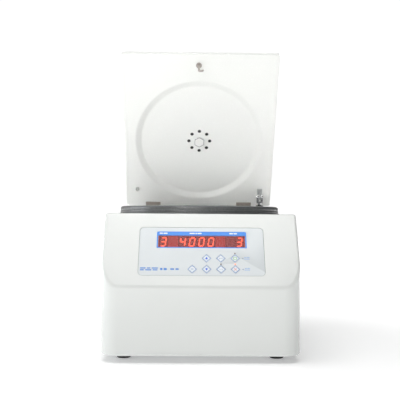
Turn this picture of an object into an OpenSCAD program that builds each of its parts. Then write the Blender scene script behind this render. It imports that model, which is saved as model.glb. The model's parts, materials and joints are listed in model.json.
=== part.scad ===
// Bench centrifuge with a swing-out rotor, drawn with its lid open.
// +Z is up, the front faces -Y, and the origin is on the bench under the middle of the housing.

/* [Housing] */
// Width of the housing
body_w = 263; // [258:1:270]
// Depth of the housing
body_d = 350; // [346:1:360]
// Height of the deck above the bench
deck_z = 194; // [192:1:200]
// Height of the feet under the housing
foot_h = 9; // [8:0.5:11]
// Height at which the sloped panel starts
slope_z = 98; // [94:1:102]
// How far the sloped panel leans back
slope_run = 61; // [56:1:64]
// Plan radius of the upright corners
corner_r = 24; // [18:1:26]
// Thickness of the housing walls
wall = 3; // [2.5:0.5:3.5]

/* [Chamber and rotor] */
// Distance of the rotor's axis behind the middle of the housing
chamber_y = 38.5; // [37:0.5:40]
// Outer radius of the seal ring on the deck
seal_r = 125; // [122:1:126]
// Inner radius of the chamber bowl
bowl_r = 105; // [104:0.5:106]
// Height of the bowl's floor above the bench
bowl_floor_z = 90; // [88:1:91]
// Distance of a bucket's pivot from the rotor's axis
pivot_r = 48; // [47:0.5:49]
// Height of the bucket pivots above the bench
pivot_z = 146; // [145:1:150]
// Outer radius of a bucket
bucket_r = 19; // [18:0.5:19]
// Radius of a bucket's bore
bucket_bore_r = 15.5; // [14:0.5:15.5]

/* [Lid] */
// Width of the lid
lid_w = 254; // [250:1:256]
// Length of the lid from its rear edge to its front edge
lid_len = 275; // [272:1:278]
// Thickness of the lid
lid_t = 14; // [12:1:18]
// Angle that the lid is drawn open
lid_open = 60; // [0:5:60]
// Radius of the round pan pressed into the lid's liner
pan_r = 108.5; // [106:0.5:110]
// Depth of that pan
pan_depth = 5; // [3:0.5:6]

/* [Control panel] */
// Width of the membrane overlay
overlay_w = 168; // [160:1:172]
// Height of the membrane overlay along the slope
overlay_h = 74.5; // [70:0.5:78]
// Width of the display bezel
bezel_w = 121; // [118:1:124]
// Height of the display bezel along the slope
bezel_h = 25.5; // [25:0.5:27]
// Side length of a diamond key
key_side = 8.8; // [8:0.2:9]
// Distance between neighbouring keys in a row
key_pitch = 19; // [18:0.5:20]
// Distance between the two rows of keys
row_pitch = 16.4; // [16:0.2:18]

/* [Hidden] */
$fn = 96;
eps = 0.01;
gap = 0.3;

// sloped panel
slope_a = atan(slope_run / (deck_z - slope_z));
overlay_x = 0.6;
overlay_s = 54.3;
overlay_top = 0.3;
recess = 1.5;
bezel_x = 0.7;
bezel_s = 72;
window_w = bezel_w - 4;
window_h = 18.4;
window_s = 69.2;
key_x = 7;
key_s = 27;
key_travel = 0.4;
key_proud = 0.3;
key_t = 0.8;
switch_h = 5;
lamp_r = 0.9;
lamp_up = 7.8;
board_y = 12;
board_t = 1.6;
// keys as [column, row]: three above, four below
keys = [[0, 1], [1, 1], [2, 1], [-1, 0], [0, 0], [1, 0], [2, 0]];
// indicator lamps as [column, height above the lower row of keys]
lamps = [[2, row_pitch + lamp_up], [1, lamp_up], [2, lamp_up]];
// display modules as [middle across the slope, number of digits]
modules = [[-50.8, 1], [-5.8, 4], [45.2, 2]];
digit_pitch = 12.7;
digit_block_h = 18;

// lid hinge, seal and chamber
hinge_y = 167;
hinge_z = deck_z + 10.7;
hinge_x = 80;
hinge_w = 26;
knuckle_r = 4.2;
knuckle_w = 7;
hinge_pin_r = 2;
lid_z = deck_z + 12.7;
lid_rear = hinge_y - 6;
lid_rim = 5;
lid_corner = 3;
plug_h = 6;
port_r = 5.2;
lens_r = 3.9;
seal_top = lid_z - gap;
liner_in = 0.4;
seal_in = 106.5;
hole_r = 111.3;
bowl_t = 1.2;
rim_z = deck_z - 9;
guard_r = 118;
guard_t = 3;

// drive
plate_t = 2;
floor_z = foot_h + plate_t;
motor_r = 42;
motor_top = bowl_floor_z - 12;
motor_plate_t = 4;
damper_at = 57;
damper_h = 12;
shaft_r = 5;
shaft_low = 45;
fit = 0.05;

// swing-out rotor
bucket_up = 6;
bucket_down = 50;
bucket_floor = 4;
pin_r = 3;
pin_end = 28.5;
arm_in = bucket_r + 2;
arm_t = 8;
arm_out = 55;
arm_h = 12;

// lid stay
stay_x = 107;
stay_back = 23;
stay_drop = 10;
stay_foot = [162, 90];
stay_top = [lid_rear - stay_back, lid_z - stay_drop];
tube_r = 6;
tube_bore_r = 4.9;
rod_r = 2.4;
tube_len = 92;
rod_len = 90;
stay_pin_r = 2;

// lid lock
hook_y = -96;
hook_drop = 29.7;
hook_t = 2.5;
bolt_z = [183, 188];
bolt_mid = (bolt_z[0] + bolt_z[1]) / 2;
bolt_tip = 6;
frame_t = 2.5;
frame_z = deck_z - wall - frame_t;
hook_slot = [-8, 10];
stay_slot = [128, 159];
stay_slot_w = 15;

// rear panel
rear_x = -15;
rear_z = 64;
rear_w = 178;
rear_h = 80;
socket_x = -72;
socket_z = 46;
switch_z = 82;
fuse_x = -40;

// ---- shared shapes ----

// Flat rectangle with true round corners.
module round_rect(w, h, r) {
    square([w - 2 * r, h], center = true);
    square([w, h - 2 * r], center = true);
    for (x = [-1, 1], y = [-1, 1])
        translate([x * (w / 2 - r), y * (h / 2 - r)]) circle(r);
}

// Places children on the sloped panel: x across, z up the slope, y into the housing.
module on_slope(x = 0, s = 0, y = 0) {
    translate([0, -body_d / 2, slope_z])
        rotate([-slope_a, 0, 0])
            translate([x, y, s]) children();
}

// Stands a flat outline on the slope and gives it a thickness into the housing from y.
module slope_plate(x, s, y, t) {
    on_slope(x, s, y + t) rotate([90, 0, 0]) linear_extrude(t) children();
}

// The housing's outer shape, or its hollow when inset is the wall.
module body_form(inset) {
    difference() {
        translate([0, 0, foot_h - (inset > 0 ? 1 : 0)])
            linear_extrude(deck_z - foot_h - inset + (inset > 0 ? 1 : 0))
                round_rect(body_w - 2 * inset, body_d - 2 * inset, corner_r - inset);
        on_slope(-body_w, -body_d, inset - body_d)
            cube([2 * body_w, body_d, 3 * body_d]);
    }
}

// Places children that are drawn for a closed lid on the lid as it is opened.
module on_lid() {
    translate([0, hinge_y, hinge_z])
        rotate([-lid_open, 0, 0])
            translate([0, -hinge_y, -hinge_z]) children();
}

// Ring of rectangular section around the rotor's axis.
module ring(r_in, r_out, z, h) {
    translate([0, chamber_y, z])
        difference() {
            cylinder(r = r_out, h = h);
            translate([0, 0, -1]) cylinder(r = r_in, h = h + 2);
        }
}

// Cylinder along X, centred.
module rod_x(r, h) {
    rotate([0, 90, 0]) cylinder(r = r, h = h, center = true);
}

// Pan-headed screw pointing up from z = 0, with its head below.
module screw(head_r, head_h, r, h) {
    translate([0, 0, -head_h]) cylinder(r = head_r, h = head_h);
    cylinder(r = r, h = h);
}

function key_at(k) = [key_x + keys[k][0] * key_pitch, key_s + keys[k][1] * row_pitch];
foot_at = [for (x = [-103, 103], y = [-131, 131]) [x, y]];
boss_in = wall + 3.5;
boss_at = [for (x = [-1, 1], y = [-60, 60]) [x * (body_w / 2 - boss_in), y]];
damper_angles = [90, 210, 330];

// ---- housing and base ----

module housing() {
    color("white") {
        difference() {
            body_form(0);
            body_form(wall);
            // chamber opening, lid stay slot and lock slot in the deck
            translate([0, chamber_y, deck_z - 10]) cylinder(r = hole_r, h = 20);
            translate([stay_x - stay_slot_w / 2, stay_slot[0], deck_z - 10])
                cube([stay_slot_w, stay_slot[1] - stay_slot[0], 20]);
            translate([hook_slot[0], hook_y - 6, deck_z - 10])
                cube([hook_slot[1] - hook_slot[0], 12, 20]);
            // recess for the overlay, with the display cut-out and the key holes through it
            slope_plate(overlay_x, overlay_s, -1, recess + 1)
                round_rect(overlay_w, overlay_h, 6);
            slope_plate(bezel_x, window_s, 0, wall + 2)
                square([window_w, window_h], center = true);
            for (k = [0:6])
                on_slope(key_at(k)[0], key_at(k)[1], -1)
                    rotate([-90, 0, 0]) cylinder(r = 3.2, h = 6);
            for (l = lamps)
                on_slope(key_x + l[0] * key_pitch, key_s + l[1], -1)
                    rotate([-90, 0, 0]) cylinder(r = lamp_r + 0.2, h = 6);
            // stepped opening for the rear panel
            translate([rear_x - rear_w / 2, body_d / 2 - 1.5, rear_z - rear_h / 2])
                cube([rear_w, 5, rear_h]);
            translate([rear_x - rear_w / 2 + 8, body_d / 2 - 10, rear_z - rear_h / 2 + 8])
                cube([rear_w - 16, 12, rear_h - 16]);
            rear_screw_places() cylinder(r = 1.25, h = 12, center = true);
        }
        for (b = boss_at)
            translate([b[0], b[1], floor_z])
                difference() {
                    cylinder(r = 5, h = 16);
                    translate([0, 0, -1]) cylinder(r = 1.6, h = 13);
                    // keeps the boss inside the outer face of the wall
                    translate([sign(b[0]) * 9, 0, 8]) cube([9, 12, 20], center = true);
                }
    }
}

module base_plate() {
    color("silver")
        difference() {
            union() {
                translate([0, 0, foot_h])
                    linear_extrude(plate_t)
                        round_rect(body_w - 2 * wall - 2 * gap, body_d - 2 * wall - 2 * gap,
                            corner_r - wall);
                // welded posts that carry the dampers
                for (a = damper_angles)
                    translate([damper_at * cos(a), chamber_y + damper_at * sin(a), floor_z - eps])
                        cylinder(r = 6, h = motor_top - damper_h - floor_z);
            }
            for (f = foot_at) translate([f[0], f[1], 0]) cylinder(r = 1.5, h = 30);
            for (b = boss_at) translate([b[0], b[1], 0]) cylinder(r = 1.6, h = 30);
            // cooling slots under the motor
            for (i = [-3:3])
                translate([i * 9 - 2, chamber_y - 20, 0]) cube([4, 40, 20]);
        }
}

module bottom_screws() {
    color("gray") {
        for (f = foot_at)
            translate([f[0], f[1], 5]) screw(3.2, 2.2, 1.5, floor_z - 3);
        for (b = boss_at)
            translate([b[0], b[1], foot_h]) screw(3.2, 2, 1.5, 12);
    }
}

module feet() {
    color("black")
        for (f = foot_at)
            translate([f[0], f[1], 0])
                difference() {
                    rotate_extrude()
                        polygon([[0, 0], [8.6, 0], [9.4, 0.8], [10, foot_h - 1.5], [10, foot_h],
                            [0, foot_h]]);
                    translate([0, 0, -1]) cylinder(r = 4, h = 6);
                    cylinder(r = 1.5, h = 30);
                }
}

// ---- chamber ----

module guard_ring() {
    color("dimgray") ring(guard_r - guard_t, guard_r, floor_z, rim_z - floor_z);
}

module chamber_bowl() {
    corner = 14;
    drain_r = 14;
    color("lightgray")
        translate([0, chamber_y, 0])
            rotate_extrude() {
                // floor, rounded corner, wall and rim
                translate([drain_r, bowl_floor_z - bowl_t])
                    square([bowl_r - corner - drain_r, bowl_t]);
                intersection() {
                    translate([bowl_r - corner, bowl_floor_z + corner])
                        difference() {
                            circle(corner + bowl_t);
                            circle(corner);
                        }
                    translate([bowl_r - corner, bowl_floor_z - bowl_t])
                        square(corner + bowl_t);
                }
                translate([bowl_r, bowl_floor_z + corner])
                    square([bowl_t, rim_z + bowl_t - bowl_floor_z - corner]);
                translate([bowl_r, rim_z])
                    square([guard_r - bowl_r - 0.5, bowl_t]);
            }
}

module seal_ring() {
    groove = 1.6;
    bead = 3.4;
    color([0.25, 0.25, 0.27])
        translate([0, chamber_y, 0])
            rotate_extrude()
                difference() {
                    union() {
                        translate([seal_in, deck_z])
                            square([seal_r - seal_in, seal_top - deck_z]);
                        translate([seal_r - 2, deck_z]) square([3.3, 1.8]);
                        translate([seal_in, rim_z + bowl_t])
                            square([hole_r - seal_in, deck_z - rim_z - bowl_t + eps]);
                    }
                    // two grooves around the outside
                    for (z = [deck_z + 2.8, deck_z + 2.8 + bead + groove / 2])
                        translate([seal_r, z + groove / 2]) circle(groove, $fn = 24);
                }
}

module shaft_boot() {
    color("black") {
        ring(shaft_r + 2.5, 13.7, motor_top + motor_plate_t, bowl_floor_z - motor_top - 3);
        ring(13.6, 17, motor_top + motor_plate_t, bowl_floor_z - bowl_t - motor_top - motor_plate_t);
    }
}

// ---- drive ----

module motor() {
    color("dimgray")
        translate([0, chamber_y, 0])
            difference() {
                union() {
                    translate([0, 0, floor_z + 8]) cylinder(r = motor_r, h = motor_top - floor_z - 8);
                    translate([0, 0, floor_z + 4]) cylinder(r = 14, h = 8);
                }
                translate([0, 0, shaft_low - 1]) cylinder(r = shaft_r + fit, h = motor_top);
            }
}

module motor_plate() {
    color("silver")
        difference() {
            ring(shaft_r + 2.5, damper_at + 11, motor_top, motor_plate_t);
            for (a = damper_angles)
                translate([damper_at * cos(a + 60), chamber_y + damper_at * sin(a + 60), motor_top - 1])
                    cylinder(r = 8, h = 9);
        }
}

module dampers() {
    color("black")
        for (a = damper_angles)
            translate([damper_at * cos(a), chamber_y + damper_at * sin(a), motor_top - damper_h - eps])
                cylinder(r = 10, h = damper_h + eps);
}

module lock_frame() {
    color("silver")
        difference() {
            union() {
                translate([-32, hook_y - 9, frame_z]) cube([92, 18, frame_t]);
                // cheeks that guide the bolt
                for (y = [-6.2, 3.7])
                    translate([-12, hook_y + y, bolt_z[0] - 4])
                        cube([37, 2.5, frame_z + eps - bolt_z[0] + 4]);
            }
            translate([hook_slot[0], hook_y - 3.4, bolt_z[0] - 30])
                cube([hook_slot[1] - hook_slot[0], 6.8, 60]);
        }
}

module lock_solenoid() {
    low = bolt_mid - 13;
    color("gray")
        difference() {
            translate([28, hook_y - 9, low]) cube([30, 18, frame_z - low]);
            translate([20, hook_y, bolt_mid]) rotate([0, 90, 0]) cylinder(r = 2.5 + fit, h = 32);
        }
}

module lock_bolt() {
    color("silver") {
        translate([bolt_tip, hook_y - 3, bolt_z[0]]) cube([15, 6, bolt_z[1] - bolt_z[0]]);
        translate([20, hook_y, bolt_mid]) rotate([0, 90, 0]) cylinder(r = 2.5, h = 24);
    }
}

module lid_switch() {
    color("black") {
        translate([-31, hook_y - 5, frame_z - 12]) cube([18, 10, 12]);
        translate([-14, hook_y - 2, frame_z - 10]) cube([4.5, 4, 1]);
    }
}

// ---- control panel ----

module overlay() {
    color([0.8, 0.85, 0.9])
        difference() {
            slope_plate(overlay_x, overlay_s, overlay_top, recess - overlay_top)
                round_rect(overlay_w - 0.4, overlay_h - 0.4, 5.8);
            slope_plate(bezel_x, bezel_s, -2, 6) square([bezel_w, bezel_h], center = true);
            for (k = [0:6])
                slope_plate(key_at(k)[0], key_at(k)[1], -2, 6)
                    rotate(45) square(key_side + 2 * gap, center = true);
            for (l = lamps)
                on_slope(key_x + l[0] * key_pitch, key_s + l[1], -1)
                    rotate([-90, 0, 0]) cylinder(r = lamp_r + fit, h = 6);
        }
}

module display_bezel() {
    color("royalblue")
        difference() {
            slope_plate(bezel_x, bezel_s, 0.1, recess - 0.1)
                square([bezel_w, bezel_h], center = true);
            slope_plate(bezel_x, window_s, -2, 6)
                square([window_w, window_h + 0.6], center = true);
        }
}

module display_window() {
    color([0.7, 0.05, 0.05, 0.7])
        slope_plate(bezel_x, window_s, 0.4, recess - 0.4)
            square([window_w, window_h + 0.6], center = true);
}

module digit_modules() {
    color([0.3, 0.03, 0.03])
        for (m = modules)
            slope_plate(m[0], window_s, recess + 0.5, board_y - recess - 0.5)
                square([m[1] * digit_pitch + 0.2, digit_block_h], center = true);
}

module display_board() {
    color("darkgreen")
        slope_plate(overlay_x, overlay_s, board_y, board_t)
            square([overlay_w - 12, overlay_h - 6], center = true);
}

module key_switches() {
    color("black")
        for (k = [0:6])
            slope_plate(key_at(k)[0], key_at(k)[1], board_y - switch_h, switch_h)
                square(6, center = true);
}

module indicator_lamps() {
    color("orangered")
        for (l = lamps)
            on_slope(key_x + l[0] * key_pitch, key_s + l[1], overlay_top)
                rotate([-90, 0, 0]) cylinder(r = lamp_r, h = board_y - overlay_top, $fn = 32);
}

// Key number k, counted from the left of the upper row.
module key(k) {
    color("aliceblue") {
        slope_plate(key_at(k)[0], key_at(k)[1], overlay_top - key_proud, key_t)
            rotate(45) square(key_side, center = true);
        on_slope(key_at(k)[0], key_at(k)[1], overlay_top)
            rotate([-90, 0, 0])
                cylinder(r = 2.4, h = board_y - switch_h - overlay_top - key_travel - gap);
    }
}

// ---- electronics in the front of the base ----

module drive_board() {
    color("darkgreen") {
        translate([-105, -164, floor_z + 8]) cube([150, 66, 1.6]);
        for (x = [-98, 38], y = [-158, -105])
            translate([x, y, floor_z]) cylinder(r = 3, h = 8 + eps);
    }
}

module drive_parts() {
    top = floor_z + 9.6;
    color("darkslategray") {
        for (x = [-88, -58])
            translate([x, -145, top]) cylinder(r = 12, h = 40);
        // finned heat sink
        translate([-30, -160, top]) cube([50, 40, 5]);
        for (i = [0:6])
            translate([-30 + i * 8, -160, top + 5 - eps]) cube([2, 40, 22]);
        translate([28, -150, top]) cube([14, 36, 18]);
    }
}

// ---- rear panel ----

module rear_screw_places() {
    for (x = [-1, 0, 1], z = [-1, 1])
        translate([rear_x + x * (rear_w / 2 - 4), body_d / 2, rear_z + z * (rear_h / 2 - 4)])
            rotate([90, 0, 0]) children();
}

module rear_panel() {
    color("gainsboro")
        difference() {
            translate([rear_x, body_d / 2, rear_z])
                rotate([90, 0, 0])
                    linear_extrude(1.5) square([rear_w - 0.4, rear_h - 0.4], center = true);
            translate([socket_x - 14, body_d / 2 - 5, socket_z - 10]) cube([28, 10, 20]);
            translate([socket_x - 8.6, body_d / 2 - 5, switch_z - 13.6]) cube([17.2, 10, 27.2]);
            translate([fuse_x, body_d / 2 - 5, switch_z])
                rotate([-90, 0, 0]) cylinder(r = 6.3, h = 10);
            // cooling slots
            for (i = [0:10])
                translate([-18 + i * 8, body_d / 2 - 5, rear_z - 26]) cube([4, 10, 52]);
            for (x = [-20, 20])
                translate([socket_x + x, body_d / 2 - 5, socket_z])
                    rotate([-90, 0, 0]) cylinder(r = 1.5, h = 10);
            rear_screw_places() cylinder(r = 1.5, h = 12, center = true);
        }
}

module rear_screws() {
    color("gray") {
        rear_screw_places() {
            translate([0, 0, -1.6]) cylinder(r = 2.8, h = 1.6);
            translate([0, 0, -1]) cylinder(r = 1.25, h = 3.9);
        }
        for (x = [-20, 20])
            translate([socket_x + x, body_d / 2 + 2, socket_z])
                rotate([90, 0, 0]) {
                    translate([0, 0, -1.2]) cylinder(r = 2.4, h = 1.2);
                    translate([0, 0, -1]) cylinder(r = 1.5, h = 6);
                }
    }
}

module inlet() {
    color("black")
        difference() {
            union() {
                translate([socket_x, body_d / 2 + 2, socket_z])
                    rotate([90, 0, 0]) linear_extrude(2) round_rect(50, 23, 4);
                translate([socket_x - 13.8, body_d / 2 - 22, socket_z - 9.8]) cube([27.6, 23, 19.6]);
            }
            // keyed socket with two bevelled corners
            translate([socket_x, body_d / 2 + 3, socket_z])
                rotate([90, 0, 0])
                    linear_extrude(19)
                        polygon([[-12, -8], [12, -8], [12, 3.5], [7.5, 8], [-7.5, 8], [-12, 3.5]]);
            for (x = [-20, 20])
                translate([socket_x + x, body_d / 2 - 5, socket_z])
                    rotate([-90, 0, 0]) cylinder(r = 1.5, h = 10);
            pin_blades();
        }
}

// Three flat blades, the middle one set higher.
module pin_blades() {
    for (p = [[-7, -1.5], [0, 1.5], [7, -1.5]])
        translate([socket_x + p[0] - 1, body_d / 2 - 26, socket_z + p[1] - 2]) cube([2, 22, 4]);
}

module inlet_pins() {
    color("goldenrod") pin_blades();
}

module fuse_holder() {
    color("black")
        translate([fuse_x, body_d / 2, switch_z])
            rotate([90, 0, 0]) {
                translate([0, 0, -2]) cylinder(r = 8.5, h = 2);
                translate([0, 0, -3.5]) cylinder(r = 6, h = 3.5);
                translate([0, 0, -eps]) cylinder(r = 6.2, h = 17);
            }
}

module rocker_frame() {
    color("black")
        difference() {
            union() {
                translate([socket_x - 10, body_d / 2, switch_z - 16]) cube([20, 2, 32]);
                translate([socket_x - 8.5, body_d / 2 - 15, switch_z - 13.5]) cube([17, 16, 27]);
            }
            translate([socket_x - 7.2, body_d / 2 - 13.8, switch_z - 12.2]) cube([14.4, 30, 24.4]);
            translate([socket_x, body_d / 2 - 2, switch_z]) rod_x(1.5 + fit, 16.4);
        }
}

// Paddle with two faces that meet in a shallow valley; its upper half is pressed in.
module rocker() {
    lean = 8;
    half = 11.2;
    color("black")
        translate([socket_x, body_d / 2 - 2, switch_z])
            rotate([lean, 0, 0]) {
                translate([-6.8, 0, 0])
                    rotate([90, 0, 90])
                        linear_extrude(13.6)
                            polygon([[3, 0], [3 + half * tan(lean), half], [-1, half], [-5, 4],
                                [-5, -4], [-1, -half], [3 + half * tan(lean), -half]]);
                rod_x(1.5, 15.8);
            }
}

// ---- hinges and lid ----

module hinge_bases() {
    color("gray")
        for (x = [-hinge_x, hinge_x])
            difference() {
                union() {
                    translate([x - hinge_w / 2, 149, deck_z]) cube([hinge_w, 24, 2]);
                    for (side = [-1, 1])
                        translate([x + side * (hinge_w - knuckle_w) / 2, hinge_y, 0]) {
                            translate([0, 0, hinge_z]) rod_x(knuckle_r, knuckle_w);
                            translate([-knuckle_w / 2, -2, deck_z + 1]) cube([knuckle_w, 4, 9]);
                        }
                }
                translate([x, hinge_y, hinge_z]) rod_x(hinge_pin_r, hinge_w + 2);
            }
}

module hinge_pins() {
    color("silver")
        for (x = [-hinge_x, hinge_x])
            translate([x, hinge_y, hinge_z]) rod_x(hinge_pin_r, hinge_w);
}

module lid_hinges() {
    tongue = hinge_w - 2 * knuckle_w - 0.6;
    color("gray")
        on_lid()
            for (x = [-hinge_x, hinge_x])
                difference() {
                    union() {
                        translate([x - hinge_w / 2, lid_rear - 7.5, lid_z - 2]) cube([hinge_w, 7.5, 2]);
                        translate([x - tongue / 2, lid_rear - 4, lid_z - 2]) cube([tongue, 8, 2]);
                        translate([x, hinge_y, hinge_z]) rod_x(knuckle_r, tongue);
                    }
                    translate([x, hinge_y, hinge_z]) rod_x(hinge_pin_r + fit, hinge_w);
                }
}

module lid_shell() {
    color("white")
        on_lid()
            translate([0, lid_rear - lid_len / 2, lid_z])
                difference() {
                    linear_extrude(lid_t) round_rect(lid_w, lid_len, lid_corner);
                    translate([0, 0, -1])
                        linear_extrude(lid_t - 2)
                            round_rect(lid_w - 2 * lid_rim, lid_len - 2 * lid_rim, 1.5);
                    translate([0, chamber_y - lid_rear + lid_len / 2, 0]) cylinder(r = port_r, h = 30);
                }
}

// Liner that closes the hollow lid, with a shallow round pan over the chamber.
module lid_liner() {
    step = 10;
    sheet = 1.5;
    vents = 8;
    color([0.92, 0.92, 0.9])
        on_lid()
            difference() {
                union() {
                    translate([0, lid_rear - lid_len / 2, lid_z + liner_in])
                        linear_extrude(sheet)
                            round_rect(lid_w - 2 * lid_rim, lid_len - 2 * lid_rim, 1.5);
                    translate([0, chamber_y, lid_z + liner_in])
                        cylinder(r1 = pan_r + 2, r2 = pan_r - step + 2, h = pan_depth + sheet);
                }
                translate([0, chamber_y, lid_z + liner_in])
                    cylinder(r1 = pan_r, r2 = pan_r - step, h = pan_depth);
                translate([0, chamber_y, lid_z]) cylinder(r = pan_r, h = liner_in + eps);
                translate([0, chamber_y, lid_z]) cylinder(r = port_r, h = 30);
                for (i = [1:vents])
                    translate([17.6 * cos(i * 360 / vents), chamber_y + 17.6 * sin(i * 360 / vents),
                        lid_z]) cylinder(r = 2.9, h = 30, $fn = 32);
            }
}

module sight_port() {
    low = lid_z + liner_in + pan_depth;
    color("white")
        on_lid()
            translate([0, chamber_y, low])
                difference() {
                    union() {
                        translate([0, 0, -plug_h]) rotate(30) cylinder(r = 8.8, h = plug_h, $fn = 6);
                        cylinder(r = port_r, h = lid_z + lid_t - low);
                        translate([0, 0, lid_z + lid_t - low]) cylinder(r = 8, h = 1.2);
                    }
                    translate([0, 0, -plug_h - 1]) cylinder(r = lens_r, h = 40);
                }
}

module sight_lens() {
    color([0.7, 0.75, 0.78])
        on_lid()
            translate([0, chamber_y, lid_z + liner_in + pan_depth - plug_h])
                cylinder(r = lens_r, h = 4);
}

// Round plate with a hook whose mouth opens to +X, cut from one flat bar.
module striker() {
    low = lid_z - hook_drop;
    color([0.35, 0.32, 0.3])
        on_lid() {
            translate([-2.4, hook_y, lid_z - 1.5]) cylinder(r = 4.6, h = 1.9);
            translate([-4, hook_y - hook_t / 2, low + 3]) cube([3, hook_t, hook_drop - 3]);
            translate([0.5, hook_y + hook_t / 2, low + 4.5])
                rotate([90, 0, 0])
                    difference() {
                        cylinder(r = 4.5, h = hook_t);
                        translate([0, 0, -1]) cylinder(r = 1.5, h = hook_t + 2);
                        translate([-1.5, 0, -1]) cube([10, 10, hook_t + 2]);
                    }
        }
}

module lid_stud() {
    color("silver")
        on_lid()
            translate([-stay_x, lid_rear - 33, lid_z + liner_in - 3]) cylinder(r = 3.4, h = 3);
}

// ---- lid stay: tube hung from the lid, rod hinged low in the housing ----

module on_stay(at) {
    open_top = [hinge_y + (stay_top[0] - hinge_y) * cos(lid_open) + (stay_top[1] - hinge_z) * sin(lid_open),
        hinge_z - (stay_top[0] - hinge_y) * sin(lid_open) + (stay_top[1] - hinge_z) * cos(lid_open)];
    lean = atan2(stay_foot[0] - open_top[0], open_top[1] - stay_foot[1]);
    place = at == "top" ? open_top : stay_foot;
    translate([stay_x, place[0], place[1]]) rotate([lean, 0, 0]) children();
}

module stay_bracket() {
    tongue_t = 3;
    color("gray")
        on_lid() {
            translate([stay_x - 4.5, stay_top[0] - 12, lid_z - 2.5]) cube([9, 16, 2.9]);
            translate([stay_x - tongue_t / 2, stay_top[0] - 4, stay_top[1]])
                cube([tongue_t, 8, stay_drop - 1]);
            translate([stay_x, stay_top[0], stay_top[1]]) rod_x(4, tongue_t);
            translate([stay_x, stay_top[0], stay_top[1]]) rod_x(stay_pin_r, 13);
        }
}

module stay_clevis() {
    color("silver")
        on_stay("top")
            difference() {
                union() {
                    rod_x(5.6, 11.4);
                    translate([-5.7, -5.6, -10]) cube([11.4, 11.2, 10]);
                    translate([0, 0, -14]) cylinder(r = 3.2, h = 6);
                }
                translate([-1.5 - gap, -8, -7]) cube([3 + 2 * gap, 16, 16]);
                rod_x(stay_pin_r + fit, 14);
            }
}

module stay_tube() {
    color([0.1, 0.1, 0.1])
        on_stay("top")
            translate([0, 0, -tube_len])
                difference() {
                    cylinder(r = tube_r, h = tube_len - 14);
                    translate([0, 0, -1]) cylinder(r = tube_bore_r, h = tube_len - 14 - 3);
                }
}

module stay_rod() {
    color("silver")
        on_stay("foot")
            difference() {
                union() {
                    cylinder(r = rod_r, h = rod_len);
                    rod_x(5, 6);
                }
                rod_x(stay_pin_r + fit, 8);
            }
}

module stay_foot() {
    back = body_d / 2 - wall - stay_foot[0];
    color("silver")
        translate([stay_x, stay_foot[0], stay_foot[1]]) {
            rod_x(stay_pin_r, 12);
            for (x = [-6, 3.6])
                translate([x, -5, -7]) cube([2.4, 5 + back - 1.5, 14]);
            translate([-6, back - 3.5, -7]) cube([12, 2, 14]);
            // flange screwed to the rear wall, clear of its rounded corner
            translate([-13, back - 2, -12]) cube([13, 2, 24]);
        }
}

// ---- rotor ----

module rotor_shaft() {
    color("silver")
        translate([0, chamber_y, shaft_low])
            cylinder(r = shaft_r, h = pivot_z + 14 - shaft_low);
}

module rotor_yoke() {
    low = pivot_z - arm_h / 2;
    color("silver")
        translate([0, chamber_y, 0])
            difference() {
                union() {
                    translate([0, 0, low - 12]) cylinder(r = 14, h = 12 + arm_h / 2);
                    translate([0, 0, low]) linear_extrude(arm_h) yoke_plan();
                }
                translate([0, 0, low - 20]) cylinder(r = shaft_r, h = 60);
                for (q = [0:3], side = [-1, 1])
                    rotate(q * 90)
                        translate([pivot_r, side * (arm_in + arm_t / 2), pivot_z])
                            rotate([90, 0, 0])
                                cylinder(r = pin_r + fit, h = arm_t + 2, center = true);
            }
}

// Round middle with four diagonal arms, each ending in an L that carries two trunnions.
module yoke_plan() {
    circle(24);
    for (q = [0:3])
        rotate(q * 90) {
            rotate(45) translate([0, -8]) square([35, 16]);
            translate([arm_in, arm_in]) square([arm_out - arm_in, arm_t]);
            translate([arm_in, arm_in]) square([arm_t, arm_out - arm_in]);
        }
}

module rotor_nut() {
    color("gray")
        translate([0, chamber_y, pivot_z + arm_h / 2])
            difference() {
                union() {
                    cylinder(r = 11, h = 3);
                    cylinder(r = 9, h = 11, $fn = 6);
                }
                translate([0, 0, -1]) cylinder(r = shaft_r, h = 9);
            }
}

// Bucket number k, counted from the right: a blind cup with a trunnion on each side.
module bucket(k) {
    bucket_h = bucket_up + bucket_down;
    color("gainsboro")
        translate([0, chamber_y, 0])
            rotate(k * 90)
                translate([pivot_r, 0, pivot_z]) {
                    difference() {
                        translate([0, 0, -bucket_down])
                            rotate_extrude()
                                polygon([[0, 0], [bucket_r - 4, 0], [bucket_r - 1.2, 1.2], [bucket_r, 4],
                                    [bucket_r, bucket_h], [0, bucket_h]]);
                        translate([0, 0, bucket_floor - bucket_down])
                            cylinder(r = bucket_bore_r, h = bucket_h);
                    }
                    for (side = [-1, 1])
                        translate([0, side * (bucket_bore_r + 1), 0])
                            rotate([-side * 90, 0, 0]) cylinder(r = pin_r, h = pin_end - bucket_bore_r - 1);
                }
}

housing();
base_plate();
bottom_screws();
feet();
guard_ring();
chamber_bowl();
seal_ring();
shaft_boot();
motor();
motor_plate();
dampers();
lock_frame();
lock_solenoid();
lid_switch();
overlay();
display_bezel();
display_window();
digit_modules();
display_board();
key_switches();
indicator_lamps();
drive_board();
drive_parts();
rear_panel();
rear_screws();
inlet();
inlet_pins();
fuse_holder();
rocker_frame();
rocker();
hinge_bases();
hinge_pins();
stay_foot();
lid_shell();
lid_liner();
sight_port();
sight_lens();
striker();
lid_hinges();
lid_stud();
stay_bracket();
stay_clevis();
stay_tube();
stay_rod();
rotor_shaft();
rotor_yoke();
rotor_nut();
bucket(0);  // bucket_1
bucket(1);  // bucket_2
bucket(2);  // bucket_3
bucket(3);  // bucket_4
lock_bolt();
key(0);  // key_1
key(1);  // key_2
key(2);  // key_3
key(3);  // key_4
key(4);  // key_5
key(5);  // key_6
key(6);  // key_7
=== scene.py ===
import json
import math

import bmesh
import bpy
from mathutils import Matrix, Vector


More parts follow.
